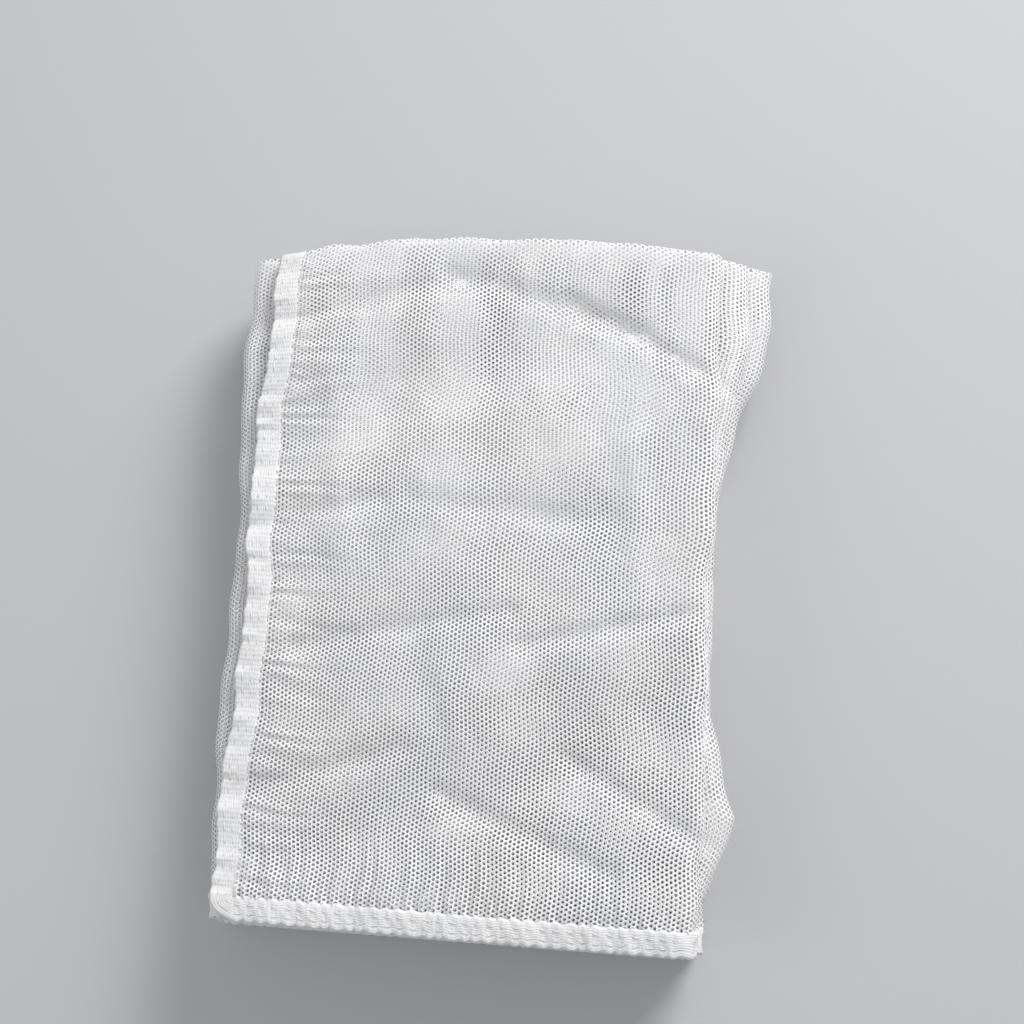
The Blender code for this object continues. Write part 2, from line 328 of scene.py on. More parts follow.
# %% Where a point of the flat net lies
FLOOR_CLEARANCE = 0.03 * MM
SLACK, SLACK_SIZE = 0.11 * MM, 19 * MM
SWAY, SWAY_SIZE, SWAY_START, SWAY_FULL = 0.26 * MM, 42 * MM, 0.9, 2.0
FAR_FRAY, FAR_FRAY_SIZE, PLIES_APART = 0.6 * MM, 30 * MM, 40 * MM


def lie(u, v, lift=0.0):
    """Where the flat net's point (u, v) lies in the packet, lifted off the cloth by lift.

    u runs along the net from one free end of the border to the other, and v across it from seam to
    seam. The band's line is read at u, the plies' run at v, and both pass through the warp. Slack
    moves each ply. Sway moves the plies of a pass together, but not those of the lowest pass. At the
    far end each ply stops a little sooner or later than the next.
    """
    place = np.interp(u, RUN_U, PLACES)
    y = np.interp(v, RUN_V, RUN_Y)
    offset = np.interp(v, RUN_V, RUN_OFFSET)
    ply = np.floor(v / (NET_WIDTH / PLIES))
    slack = SLACK * ripples(u, v, SLACK_SIZE, seed=5.0)
    sway = SWAY * ripples(u, y, SWAY_SIZE, seed=9.0) * rise(place, SWAY_START, SWAY_FULL)
    x, z = band(place, y, offset + slack + sway + lift)
    far = rise(y, 0.0, FAR_END)
    y = y + DRIFT * np.sin(DRIFT_TURN * place)
    y = y + far * FAR_FRAY * ripples(u, ply * PLIES_APART, FAR_FRAY_SIZE, seed=7.0)
    x, y, z = settle(x, y, z)
    return np.stack([x, y, np.maximum(z, FLOOR_CLEARANCE)], axis=-1)


# %% [markdown]
# Puckers and pleats.
#
# Elastic draws its edge in, so the tulle beside it has more cloth than room. Between the plies that
# shows as close puckers. On top, where nothing presses on the cloth, it stands up in longer pleats
# too. They could come from a simulation of the shrinking edge, but waves that die away from the seam
# have the same form and keep their place.

# %% Puckers and pleats
PUCKER, PUCKER_WANDER, PUCKER_WANDER_SIZE = 3.0 * MM, 1.6, 9 * MM
EDGE_PUCKER_HEIGHT, END_PUCKER_HEIGHT = 0.42 * MM, 0.16 * MM
GATHER_REACH = 3.8 * MM
PLEAT, PLEAT_PEAK, PLEAT_HEIGHT = 5.6 * MM, 4.5 * MM, 0.34 * MM
PLEAT_WANDER, PLEAT_WANDER_SIZE, PLEAT_SLANT, END_PLEAT_SHARE = 2.6, 14 * MM, 0.35, 0.7
TOP_START, TOP_FULL, TOP_FADE = LAST_PLACE - 1.0, LAST_PLACE - 0.8, 12 * MM


def on_top(u, v):
    """1 on the uppermost ply of the last pass and 0 elsewhere, with smooth steps between."""
    place = np.interp(u, RUN_U, PLACES)
    return rise(place, TOP_START, TOP_FULL) * rise(v, FIRST_FOLD_V, FIRST_FOLD_V - TOP_FADE)


def pleats(from_seam, along, wander):
    """Folds that stand up beside a gathered seam: a sine wave along it, times s exp(1 - s).

    s is the distance from the seam over that of the peak. So the pleats are level at the seam, highest
    a little way off, and die away.
    """
    share = from_seam / PLEAT_PEAK
    wave = 1 + np.sin(2 * math.pi * along / PLEAT + PLEAT_WANDER * wander)
    return PLEAT_HEIGHT * share * np.exp(1 - share) * wave


def gathers(u, v):
    """Lift of the puckers beside the border: sine waves along each edge that die away from it.

    On the uppermost ply nothing presses on the cloth, so that it also stands up in longer pleats.
    """
    from_edge = np.minimum(v, NET_WIDTH - v)
    from_end = np.minimum(u - BORDER_WIDTH, float(RUN_U[-1]) - BORDER_WIDTH - u)
    wander = PUCKER_WANDER * ripples(u, v, PUCKER_WANDER_SIZE, seed=3.0)
    on_edge = EDGE_PUCKER_HEIGHT * np.exp(-from_edge / GATHER_REACH)
    on_edge = on_edge * np.sin(2 * math.pi * u / PUCKER + wander)
    on_end = END_PUCKER_HEIGHT * np.exp(-from_end / GATHER_REACH)
    on_end = on_end * np.sin(2 * math.pi * v / PUCKER + wander)
    upward = pleats(from_edge, u, ripples(u, PLEAT_SLANT * v, PLEAT_WANDER_SIZE, seed=11.0))
    beside_end = pleats(from_end, v, ripples(PLEAT_SLANT * u, v, PLEAT_WANDER_SIZE, seed=12.0))
    upward = upward + END_PLEAT_SHARE * beside_end
    return on_edge + on_end - on_top(u, v) * upward


# %% [markdown]
# From arrays to meshes.
#
# A grid of points becomes a mesh of four-sided faces. The numbers of the corners are worked out as
# arrays too, and foreach_set hands them to Blender in one go, which is far quicker than a loop.

# %% Mesh helpers
SMALLEST_FACE = 1e-10       # square metres; smaller ones are leftovers at the rim of a pattern


def sized(points, faces):
    """The faces with a real area: half the length of the cross product of two spans of each face."""
    first = points[faces[:, 2]] - points[faces[:, 0]]
    second = points[faces[:, -1]] - points[faces[:, 1]]
    return faces[np.linalg.norm(np.cross(first, second), axis=1) / 2 > SMALLEST_FACE]


def make_mesh(name, points, quads, uv, triangles=np.zeros((0, 3), int)):
    """Object at the origin from arrays of points and corner numbers, shaded smooth, with a UV map."""
    quads, triangles = sized(points, quads), sized(points, triangles)
    sizes = np.concatenate([np.full(len(quads), 4), np.full(len(triangles), 3)])
    used, corners = np.unique(np.concatenate([quads.ravel(), triangles.ravel()]), return_inverse=True)
    mesh = bpy.data.meshes.new(name)
    mesh.vertices.add(len(used))
    mesh.vertices.foreach_set("co", points[used].astype(np.float32).ravel())
    mesh.loops.add(len(corners))
    mesh.loops.foreach_set("vertex_index", corners.astype(np.int32))
    mesh.polygons.add(len(sizes))
    mesh.polygons.foreach_set("loop_start", np.concatenate([[0], np.cumsum(sizes)[:-1]]).astype(np.int32))
    mesh.update(calc_edges=True)
    layer = mesh.uv_layers.new(name="cloth")
    layer.data.foreach_set("uv", uv[used][corners].astype(np.float32).ravel())
    mesh.validate()
    mesh.shade_smooth()
    piece = bpy.data.objects.new(name, mesh)
    bpy.context.collection.objects.link(piece)
    print(f"{name}: {len(used)} points, {int((sizes - 2).sum())} triangles")
    return piece


def grid_quads(wide, deep, wraps=False):
    """Corner numbers of the faces of a wide by deep grid. If wraps, it closes on itself both ways."""
    index = np.arange(wide * deep).reshape(wide, deep)
    if wraps:
        across, along = np.roll(index, -1, axis=0), np.roll(index, -1, axis=1)
        both = np.roll(across, -1, axis=1)
        return np.stack([index, across, both, along], axis=-1).reshape(-1, 4)
    corners = (index[:-1, :-1], index[1:, :-1], index[1:, 1:], index[:-1, 1:])
    return np.stack(corners, axis=-1).reshape(-1, 4)


# %% [markdown]
# Which stretches show.
#
# The outer layers are made as real open mesh, strand by strand, and all the layers between them as a
# plain thin sheet whose holes are in its material. A sheet alone would lose its holes at the edge of
# a flap, and 32 layers of real strands would be far too many faces. The table says from where to
# where along the band each stretch of open mesh runs, and whether it is the first or the last ply.

# %% Stretches of open mesh
FRONT_PLY, BACK_PLY = 0, PLIES - 1
# As shares of a pass: the border at a free end, and how far a stretch reaches past its fold loop
EDGE_SHARE = BORDER_WIDTH / PASS_LENGTH
REACH_IN, FLAP_REACH_IN = 0.15, 0.22
# Columns: name, first place, last place, ply
OPEN_STRETCHES = (
    ("mesh_front", 13.0 - REACH_IN, LAST_PLACE - EDGE_SHARE, FRONT_PLY),
    ("mesh_right_low", 1.0 - REACH_IN, 2.0 + REACH_IN, FRONT_PLY),
    ("mesh_right_far_flap", 5.0 - FLAP_REACH_IN, 6.0 + FLAP_REACH_IN, FRONT_PLY),
    ("mesh_right_near_flap", 9.0 - FLAP_REACH_IN, 10.0 + FLAP_REACH_IN, FRONT_PLY),
    ("mesh_left_low", 3.0 - REACH_IN, 4.0 + REACH_IN, BACK_PLY),
    ("mesh_left_middle", 7.0 - REACH_IN, 8.0 + REACH_IN, BACK_PLY),
    ("mesh_left_high", 11.0 - REACH_IN, 12.0 + REACH_IN, BACK_PLY),
)


def places_to_u(places):
    """Length along the band at the given places."""
    return np.interp(places, PLACES, RUN_U)


# %% The sheet between
PASS_STEPS, LOOP_STEPS = 26, 8
PLY_STEPS, PLY_FOLD_STEPS = 40, 5
PLACE_DIGITS, ROW_DIGITS = 6, 7     # decimals by which two places, or two rows, are told apart


def sheet_stations():
    """Places for the sheet's grid: even steps on each pass and loop, and the open stretches' ends."""
    places = [np.array([EDGE_SHARE, LAST_PLACE - EDGE_SHARE])]
    for number in range(PASSES):
        places.append(np.linspace(2.0 * number, 2.0 * number + 1.0, PASS_STEPS + 1))
        places.append(np.linspace(2.0 * number + 1.0, 2.0 * number + 2.0, LOOP_STEPS + 1))
    for _, first, last, _ in OPEN_STRETCHES:
        places.append(np.array([first, last]))
    places = np.unique(np.round(np.concatenate(places), PLACE_DIGITS))
    near = 10.0**-PLACE_DIGITS
    return places[(places >= EDGE_SHARE - near) & (places <= LAST_PLACE - EDGE_SHARE + near)]


def sheet_rows():
    """Distances across the net for the sheet's grid: even along the plies, closer in their folds."""
    straight = np.abs(np.diff(RUN_OFFSET)) < 10.0**-ROW_DIGITS
    rows = [np.array([0.0, FIRST_FOLD_V, NET_WIDTH - FIRST_FOLD_V, NET_WIDTH])]
    starts = np.nonzero(straight & ~np.roll(straight, 1))[0]
    stops = np.nonzero(straight & ~np.roll(straight, -1))[0] + 1
    for start, stop in zip(starts, stops):
        rows.append(np.linspace(RUN_V[start], RUN_V[stop], PLY_STEPS + 1))
    for stop, start in zip(stops[:-1], starts[1:]):
        rows.append(np.linspace(RUN_V[stop], RUN_V[start], PLY_FOLD_STEPS + 1))
    return np.unique(np.round(np.concatenate(rows), ROW_DIGITS))


def make_sheet():
    """The net as one surface of (u, v), left open where the strands are modelled."""
    places, v = sheet_stations(), sheet_rows()
    u = places_to_u(places)
    grid_u, grid_v = np.meshgrid(u, v, indexing="ij")
    points = lie(grid_u, grid_v)
    middle_place = (places[1:] + places[:-1])[:, None] / 2
    middle_v = (v[1:] + v[:-1])[None, :] / 2
    shown = np.ones((len(places) - 1, len(v) - 1), bool)
    for _, first, last, ply in OPEN_STRETCHES:
        on_ply = middle_v < FIRST_FOLD_V if ply == FRONT_PLY else middle_v > NET_WIDTH - FIRST_FOLD_V
        shown &= ~((middle_place > first) & (middle_place < last) & on_ply)
    quads = grid_quads(len(u), len(v))[shown.ravel()]
    uv = np.stack([grid_u, grid_v], axis=-1).reshape(-1, 2)
    return make_mesh("net_sheet", points.reshape(-1, 3), quads, uv)


net_sheet = make_sheet()

# %% [markdown]
# The open mesh of the tulle.
#
# Tulle is a net of six-sided holes about a millimetre wide. Here it is one connected surface: each
# cell of a honeycomb gets a smaller six-sided hole, the strands are the strips that are left
# between two holes, and a small triangle joins three strands. Corners are shaken a little by a
# number that depends only on the corner's place, so the three cells that share it agree on it.

# %% Honeycomb of strands
HOLE_PITCH = 1.12 * MM
COLUMN_STEP = HOLE_PITCH * math.sqrt(3.0) / 2
CORNERS = 6
STRAND_SHARE = 0.28         # how far a hole's corners are drawn in towards its middle
SHAKE = 0.12                # random distortion of each corner, as a share of the pitch
DRAG, DRAG_SIZE = 0.16, 26 * MM     # slow distortion of the rows of holes, as a share of the pitch
# Columns, with a row for a and one for b: turn per column, turn per row, height, seed of the drag
SHAKE_SINES = ((12.9898, 78.233, 43758.5453, 6.0), (39.346, 11.135, 24634.6345, 8.0))


def shaken(a, b):
    """Moves the points of a honeycomb: by a fixed random amount for each place, and by a slow drag.

    The random amount is the fraction of a very high sine of the corner's place. That place is counted
    in the steps by which the corners of the honeycomb stand apart along a and along b.
    """
    column = np.round(a / (HOLE_PITCH / math.sqrt(12.0)))
    row = np.round(b / (HOLE_PITCH / 2))
    moved = []
    for start, (column_turn, row_turn, height, seed) in zip((a, b), SHAKE_SINES):
        high = np.sin(column * column_turn + row * row_turn) * height
        shake = SHAKE * (2 * (high - np.floor(high)) - 1) + DRAG * ripples(a, b, DRAG_SIZE, seed)
        moved.append(start + HOLE_PITCH * shake)
    return moved


def hole_corners(columns, rows):
    """Six corners for each hole of a honeycomb of columns by rows cells, in metres of cloth.

    Every other column stands half a pitch further on. The corners lie on a circle round the middle of
    their cell and are shaken. Then they are drawn in towards their mean, which leaves the strands.
    """
    i, j = np.meshgrid(np.arange(columns), np.arange(rows), indexing="ij")
    a = (i * COLUMN_STEP)[..., None]
    b = ((j + 0.5 * (i % 2)) * HOLE_PITCH)[..., None]
    angles = np.arange(CORNERS) * 2 * math.pi / CORNERS
    radius = HOLE_PITCH / math.sqrt(3.0)
    a, b = shaken(a + radius * np.cos(angles), b + radius * np.sin(angles))
    a = a + (a.mean(axis=-1, keepdims=True) - a) * STRAND_SHARE
    b = b + (b.mean(axis=-1, keepdims=True) - b) * STRAND_SHARE
    return a, b


# %% Strands between the holes
def strand_faces(columns, rows):
    """Corner numbers of the strips between two holes and of the triangles between three.

    A cell has six neighbours. Its strips to three of them, the upper right, upper and upper left ones,
    make every strip once, because the others belong to those neighbours. In the same way the
    triangles at its right and upper right corners make every triangle once.
    """
    i, j = np.meshgrid(np.arange(columns), np.arange(rows), indexing="ij")
    number = np.arange(columns * rows * CORNERS).reshape(columns, rows, CORNERS)
    odd = i % 2

    def neighbour(di, dj):
        """Which cells have a neighbour at that step, and the numbers of its corners."""
        ni, nj = i + di, j + dj
        real = (ni >= 0) & (ni < columns) & (nj >= 0) & (nj < rows)
        return real, number[np.clip(ni, 0, columns - 1), np.clip(nj, 0, rows - 1)]

    strips = []
    for k, (di, dj) in enumerate(((1, odd), (0, 1), (-1, odd))):
        real, other = neighbour(di, dj)
        own, other = number[real], other[real]
        ring = (own[:, k], other[:, (k + 4) % CORNERS], other[:, (k + 3) % CORNERS], own[:, k + 1])
        strips.append(np.stack(ring, axis=-1))
    has_upper_right, upper_right = neighbour(1, odd)
    has_lower_right, lower_right = neighbour(1, odd - 1)
    has_upper, upper = neighbour(0, 1)
    both = has_upper_right & has_lower_right
    at_right = np.stack([number[both][:, 0], lower_right[both][:, 2], upper_right[both][:, 4]], axis=-1)
    both = has_upper_right & has_upper
    at_upper_right = np.stack([number[both][:, 1], upper_right[both][:, 3], upper[both][:, 5]], axis=-1)
    return np.concatenate(strips), np.concatenate([at_right, at_upper_right])


# %% The open stretches
def make_open_mesh(name, first, last, ply):
    """Connected strands over a stretch of an outer ply: a honeycomb in (u, v), laid by lie().

    The holes are spaced along the ply's own length, which is not that of the band's middle line where
    the band turns, so that they stay even round the folds.
    """
    own_run = run_along(float(PLY_OFFSETS[ply]))
    a0, a1 = np.interp(np.array([first, last]), PLACES, own_run)
    v0, v1 = (0.0, FIRST_FOLD_V) if ply == FRONT_PLY else (NET_WIDTH - FIRST_FOLD_V, NET_WIDTH)
    columns, rows = int((a1 - a0) / COLUMN_STEP) + 2, int((v1 - v0) / HOLE_PITCH) + 2
    a, b = hole_corners(columns, rows)
    u = np.interp(np.clip(a0 + a, a0, a1), own_run, RUN_U)
    v = np.clip(v0 + b, v0, v1)
    points = lie(u, v, gathers(u, v)).reshape(-1, 3)
    strips, triangles = strand_faces(columns, rows)
    return make_mesh(name, points, strips, np.stack([u, v], axis=-1).reshape(-1, 2), triangles)


open_meshes = [make_open_mesh(*stretch) for stretch in OPEN_STRETCHES]

# %% [markdown]
# The elastic border.
#
# The edge of the net is turned over a narrow elastic and sewn down, and the elastic gathers it into
# small puckers. It runs right round the net, so it is one closed ring: a flat oval profile carried
# round the rectangle of the flat net and laid in the packet with the same function as the cloth.
# Where two edges share a pass there is room for fuller puckers than between the close plies at the
# free ends.

# %% The gathered edge
BORDER_STEP = 0.6 * MM
CORNER_STEPS = 7
CHANNELS, CHANNEL_HEIGHT = (0.335, 0.665), 0.50
# Columns: share of the width, share of the half thickness, and row of puffs, or 0 between the rows
HALF_PROFILE = np.array((
    (0.000, 0.15, 0),
    (0.070, 0.50, 1),
    (0.170, 0.95, 1),
    (CHANNELS[0], CHANNEL_HEIGHT, 0),
    (0.500, 1.00, 2),
    (CHANNELS[1], CHANNEL_HEIGHT, 0),
    (0.830, 1.00, 3),
    (0.930, 0.80, 3),
    (1.000, 0.00, 0),
))
PROFILE = np.concatenate([HALF_PROFILE, (HALF_PROFILE * (1, -1, 1))[-2::-1]])


def border_path():
    """Points (u, v) of the seam once round the net, and the outward direction, which turns at corners."""
    u0, u1 = BORDER_WIDTH, float(RUN_U[-1]) - BORDER_WIDTH
    sides = (
        ((u0, 0.0), (u1, 0.0), (0.0, -1.0)),
        ((u1, 0.0), (u1, NET_WIDTH), (1.0, 0.0)),
        ((u1, NET_WIDTH), (u0, NET_WIDTH), (0.0, 1.0)),
        ((u0, NET_WIDTH), (u0, 0.0), (-1.0, 0.0)),
    )
    seam, outward = [], []
    for start, stop, direction in sides:
        start, stop, direction = np.array(start), np.array(stop), np.array(direction)
        count = int(np.linalg.norm(stop - start) / BORDER_STEP)
        share = np.linspace(0.0, 1.0, count)[:, None]
        seam.append(start + (stop - start) * share)
        outward.append(np.repeat(direction[None, :], count, axis=0))
        angle = math.atan2(direction[1], direction[0]) + np.linspace(0, math.pi / 2, CORNER_STEPS)[1:-1]
        seam.append(np.repeat(stop[None, :], len(angle), axis=0))
        outward.append(np.stack([np.cos(angle), np.sin(angle)], axis=-1))
    return np.concatenate(seam), np.concatenate(outward)


SEAM, OUTWARD = border_path()
SEAM_RUN = np.arange(len(SEAM)) * BORDER_STEP

# %% Across the border
EDGE_THICKNESS, END_THICKNESS, OUTER_THINNING = 1.30 * MM, 0.54 * MM, 0.2
RUFFLE, RUFFLE_HEIGHT, RUFFLE_UNEVENNESS = 8.5 * MM, 0.22 * MM, 0.12 * MM
CURL, CURL_HEIGHT = 11.0 * MM, 0.42 * MM
WAVE_WANDER = 2.0
# Shares of the border's width
END_WIDTH_WAVE, ADDED_EDGE_WIDTH_WAVE, WIDTH_UNEVENNESS, INNER_CREEP = 0.03, 0.04, 0.02, 0.035


def on_border(along, across, height, extra=0.0):
    """Points of the border: along its seam, across its width, and up by a share of its half thickness.

    The edge itself waves up and down (a ruffle), more at the outside than at the seam, and its width
    goes in and out with the puckers. Its inner side creeps over the net in between, and where nothing
    lies on the free end its outer side curls up. extra is a lift in metres on top of that.
    """
    seam_u, seam_v = np.interp(along, SEAM_RUN, SEAM[:, 0]), np.interp(along, SEAM_RUN, SEAM[:, 1])
    out_u, out_v = np.interp(along, SEAM_RUN, OUTWARD[:, 0]), np.interp(along, SEAM_RUN, OUTWARD[:, 1])
    on_edge = out_v**2
    uneven = ripples(along, 0 * along, PUCKER_WANDER_SIZE, seed=3.0)
    turn = 2 * math.pi * along / PUCKER + PUCKER_WANDER * uneven
    ruffle = RUFFLE_HEIGHT * np.sin(2 * math.pi * along / RUFFLE + WAVE_WANDER * uneven)
    ruffle = on_edge * (ruffle + RUFFLE_UNEVENNESS * uneven)
    free = on_top(seam_u, seam_v) * (1 - on_edge)
    curl = free * CURL_HEIGHT * (1 + np.sin(2 * math.pi * along / CURL + WAVE_WANDER * uneven))
    width_wave = END_WIDTH_WAVE + ADDED_EDGE_WIDTH_WAVE * on_edge
    reach = BORDER_WIDTH * (1 + width_wave * np.sin(turn + 1.0) + WIDTH_UNEVENNESS * uneven)
    thickness = END_THICKNESS + (EDGE_THICKNESS - END_THICKNESS) * on_edge
    lift = height * thickness / 2 * (1 - OUTER_THINNING * across) + (ruffle - curl) * across + extra
    outwards = reach * (across - INNER_CREEP * (1 - across) * (1 + np.sin(turn)))
    return lie(seam_u + out_u * outwards, seam_v + out_v * outwards, lift)


# %% The border's surface
PUFF, PUFF_SWELL, PUFF_ROW_TURN = 0.82, 0.38, 2.1
PUFF_UNEVENNESS, PUFF_UNEVENNESS_SIZE, ROWS_APART = 0.5, 5 * MM, 30 * MM


def make_border():
    """A profile with three rows of puffs carried round the seam; the puffs of each row swell in turn."""
    along, across = SEAM_RUN[:, None], PROFILE[None, :, 0]
    row = PROFILE[None, :, 2]
    uneven = ripples(along, 0 * along, PUCKER_WANDER_SIZE, seed=3.0)
    uneven = uneven + PUFF_UNEVENNESS * ripples(along, row * ROWS_APART, PUFF_UNEVENNESS_SIZE, seed=4.0)
    turn = 2 * math.pi * along / PUCKER + PUFF_ROW_TURN * row + PUCKER_WANDER * uneven
    puff = np.where(row > 0, PUFF + PUFF_SWELL * np.sin(turn), 1.0)
    points = on_border(along + 0 * across, across + 0 * along, PROFILE[None, :, 1] * puff)
    uv = np.stack([along + 0 * across, BORDER_WIDTH * (across + 0 * along)], axis=-1)
    quads = grid_quads(len(SEAM), len(PROFILE), wraps=True)
    return make_mesh("gathered_border", points.reshape(-1, 3), quads, uv.reshape(-1, 2))


border = make_border()

# %% [markdown]
# The sewing.
#
# Two rows of thread run in the channels between the puffs. Each stitch is a short rod with tapered
# ends. All of them are worked out together: one array has an axis for the place round the net, one
# for the row, one for the sections of a stitch and one for the points round it.

# %% Running stitches
STITCH_LENGTH = 1.9 * MM
THREAD_RADIUS, THREAD_STAND_OFF = 0.13 * MM, 0.06 * MM
THREAD_SIDES = 3
# Columns: place along the stitch as a share of its length, and share of the thread's radius
STITCH_SHAPE = np.array(((-0.5, 0.35), (-0.25, 1.0), (0.25, 1.0), (0.5, 0.35)))


def make_stitches():
    """Rods of a triangular section, one every pucker, in two rows on both faces of the border."""
    starts = np.arange(PUCKER, SEAM_RUN[-1] - PUCKER, PUCKER)
    faces, rows = np.meshgrid((-1.0, 1.0), CHANNELS, indexing="ij")
    faces, rows = faces.ravel(), rows.ravel()
    shape = (len(starts), len(rows), len(STITCH_SHAPE), THREAD_SIDES)
    angle = np.arange(THREAD_SIDES) * 2 * math.pi / THREAD_SIDES + math.pi / 2
    radius = THREAD_RADIUS * STITCH_SHAPE[:, 1]
    along = starts[:, None, None, None] + (STITCH_LENGTH * STITCH_SHAPE[:, 0])[None, None, :, None]
    across = rows[None, :, None, None] + (radius[:, None] * np.cos(angle))[None, None] / BORDER_WIDTH
    face = faces[None, :, None, None]
    extra = face * (THREAD_STAND_OFF + (radius[:, None] * np.sin(angle))[None, None])
    along, across, face, extra = (np.broadcast_to(part, shape) for part in (along, across, face, extra))
    points = on_border(along, across, CHANNEL_HEIGHT * face, extra)
    number = np.arange(points[..., 0].size).reshape(shape)
    a, b = number[..., :-1, :], number[..., 1:, :]
    sides = np.stack([a, np.roll(a, -1, axis=-1), np.roll(b, -1, axis=-1), b], axis=-1).reshape(-1, 4)
    ends = [number[..., 0, ::-1].reshape(-1, THREAD_SIDES), number[..., -1, :].reshape(-1, THREAD_SIDES)]
    uv = np.stack([along, across], axis=-1).reshape(-1, 2)
    return make_mesh("border_stitches", points.reshape(-1, 3), sides, uv, np.concatenate(ends))


stitches = make_stitches()

# %% [markdown]
# Groups of nodes that the finishes share.
#
# Tulle is knitted from thin clear-white yarn. A single layer is mostly air, and the many layers
# together look like soft white cloth with a cool cast. The sheet's holes come from a node group that
# draws a honeycomb from the cloth's own coordinates, the same size as the modelled one. A second
# group gives every piece the slight clouds of cool and warm white that real yarn has.

# %% Node helpers
def new_group(name, inputs, outputs):
    """Shader node group with float, vector or colour sockets. Returns the tree and its two end nodes."""
    tree = bpy.data.node_groups.new(name, "ShaderNodeTree")
    for socket, kind, value in inputs:
        made = tree.interface.new_socket(name=socket, in_out="INPUT", socket_type=kind)
        if value is not None:
            made.default_value = value
    for socket, kind in outputs:
        tree.interface.new_socket(name=socket, in_out="OUTPUT", socket_type=kind)
    return tree, tree.nodes.new("NodeGroupInput"), tree.nodes.new("NodeGroupOutput")


def wire(tree, kind, *sources, **settings):
    """New node in tree with its inputs fed by sockets or set to values in order."""
    node = tree.nodes.new(kind)
    for key, value in settings.items():
        setattr(node, key, value)
    for target, source in zip(node.inputs, sources):
        if isinstance(source, bpy.types.NodeSocket):
            tree.links.new(source, target)
        elif source is not None:
            target.default_value = source
    return node


# %% The honeycomb group
# A mix node keeps a pair of inputs and an output for each kind of data, at these places
VECTOR_PAIR, VECTOR_RESULT = (4, 5), 1
COLOR_PAIR, COLOR_RESULT = (6, 7), 2


def honeycomb_group():
    """Mask of a honeycomb's strands.

    The plane is cut into two sets of boxes, one half a box further on. The nearer box middle is the
    middle of the cell, and the cell's edge is where the largest of three slanted distances reaches
    half the pitch.
    """
    tree, start, end = new_group(
        "honeycomb strands",
        (("Vector", "NodeSocketVector", None), ("Pitch", "NodeSocketFloat", HOLE_PITCH),
         ("Strand", "NodeSocketFloat", 0.2)),
        (("Strands", "NodeSocketFloat"),))
    flip = wire(tree, "ShaderNodeSeparateXYZ", start.outputs["Vector"])
    swapped = wire(tree, "ShaderNodeCombineXYZ", flip.outputs[1], flip.outputs[0], 0.0)
    scaled = wire(tree, "ShaderNodeVectorMath", swapped.outputs[0], operation="DIVIDE")
    pitch = wire(tree, "ShaderNodeCombineXYZ", start.outputs["Pitch"], start.outputs["Pitch"], 1.0)
    tree.links.new(pitch.outputs[0], scaled.inputs[1])
    box = (1.0, math.sqrt(3.0), 1.0)
    half = (0.5, math.sqrt(3.0) / 2, 0.5)
    cells = []
    nowhere = (0.0, 0.0, 0.0)
    for shift in (nowhere, half):
        moved = wire(tree, "ShaderNodeVectorMath", scaled.outputs[0], shift, operation="SUBTRACT")
        wrapped = wire(tree, "ShaderNodeVectorMath", moved.outputs[0], box, nowhere, operation="WRAP")
        centred = wire(tree, "ShaderNodeVectorMath", wrapped.outputs[0], half, operation="SUBTRACT")
        level = wire(tree, "ShaderNodeVectorMath", centred.outputs[0], (1.0, 1.0, 0.0),
                     operation="MULTIPLY")
        cells.append(level)
    lengths = [wire(tree, "ShaderNodeVectorMath", cell.outputs[0], operation="LENGTH") for cell in cells]
    nearer = wire(tree, "ShaderNodeMath", lengths[0].outputs["Value"], lengths[1].outputs["Value"],
                  operation="GREATER_THAN")
    cell = wire(tree, "ShaderNodeMix", data_type="VECTOR")
    tree.links.new(nearer.outputs[0], cell.inputs["Factor"])
    for middle, place in zip(cells, VECTOR_PAIR):
        tree.links.new(middle.outputs[0], cell.inputs[place])
    plain = wire(tree, "ShaderNodeVectorMath", cell.outputs[VECTOR_RESULT], operation="ABSOLUTE")
    parts = wire(tree, "ShaderNodeSeparateXYZ", plain.outputs[0])
    slanted = wire(tree, "ShaderNodeVectorMath", plain.outputs[0], (0.5, math.sqrt(3.0) / 2, 0.0),
                   operation="DOT_PRODUCT")
    edge = wire(tree, "ShaderNodeMath", parts.outputs[0], slanted.outputs["Value"], operation="MAXIMUM")
    share = wire(tree, "ShaderNodeMath", 0.5, start.outputs["Strand"], operation="SUBTRACT")
    mask = wire(tree, "ShaderNodeMath", edge.outputs[0], share.outputs[0], operation="GREATER_THAN")
    tree.links.new(mask.outputs[0], end.inputs["Strands"])
    return tree


# %% The yarn group
def yarn_group():
    """Slight change of whiteness over the cloth: soft clouds of a cool and a warm white."""
    tree, start, end = new_group(
        "white yarn",
        (("Vector", "NodeSocketVector", None), ("Cool", "NodeSocketColor", (0.90, 0.905, 0.925, 1)),
         ("Warm", "NodeSocketColor", (0.93, 0.925, 0.925, 1)), ("Size", "NodeSocketFloat", 40.0)),
        (("Color", "NodeSocketColor"),))
    cloud = wire(tree, "ShaderNodeTexNoise", start.outputs["Vector"])
    tree.links.new(start.outputs["Size"], cloud.inputs["Scale"])
    cloud.inputs["Detail"].default_value = 3.0
    spread = wire(tree, "ShaderNodeMapRange", cloud.outputs["Fac"], 0.3, 0.7, 0.0, 1.0)
    mix = wire(tree, "ShaderNodeMix", data_type="RGBA")
    tree.links.new(spread.outputs[0], mix.inputs[0])
    for tone, place in zip(("Cool", "Warm"), COLOR_PAIR):
        tree.links.new(start.outputs[tone], mix.inputs[place])
    tree.links.new(mix.outputs[COLOR_RESULT], end.inputs["Color"])
    return tree


HONEYCOMB, YARN = honeycomb_group(), yarn_group()


